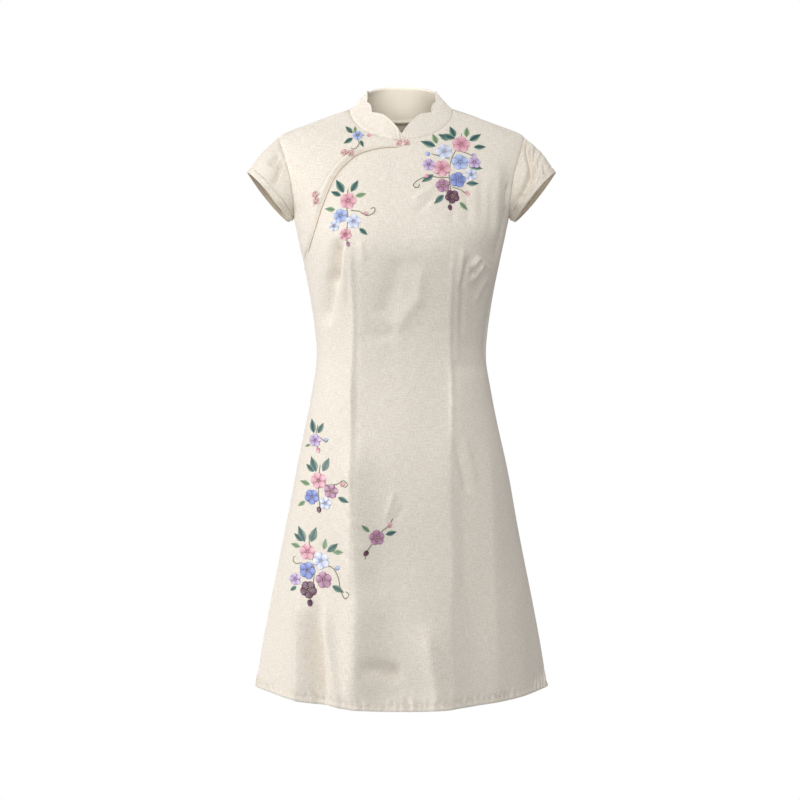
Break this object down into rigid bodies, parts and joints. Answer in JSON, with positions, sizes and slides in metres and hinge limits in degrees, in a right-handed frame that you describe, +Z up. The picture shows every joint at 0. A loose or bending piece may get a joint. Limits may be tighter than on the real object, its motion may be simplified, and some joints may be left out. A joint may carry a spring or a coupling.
{
  "type": "cheongsam dress",
  "caption": "Short A-line cheongsam dress with cap sleeves, a scalloped stand collar and a curved side opening closed by flower-knot buttons, as a hollow worn form.",
  "frame": {"origin": "middle of the neck base, at the height where the neckline meets the shoulder seams", "axes": "+Z up along the wearer's body, -Y out of the dress's front, +X towards the wearer's left side"},
  "size_m": [0.446, 0.2645, 0.8833],
  "materials": {
    "ivory_cloth": "matt linen-like weave",
    "pink_cord": "satin bias cord"
  },
  "bodies": {
    "root": {"front_panel": "ivory_cloth", "back_panel": "ivory_cloth", "front_underlap": "ivory_cloth", "sleeve_left": "ivory_cloth", "sleeve_right": "ivory_cloth", "collar": "ivory_cloth", "button_neck_loop": "pink_cord", "button_neck_knot": "pink_cord", "button_collarbone_loop": "pink_cord", "button_collarbone_knot": "pink_cord", "button_chest_loop": "pink_cord", "button_chest_knot": "pink_cord"}
  },
  "joints": []
}
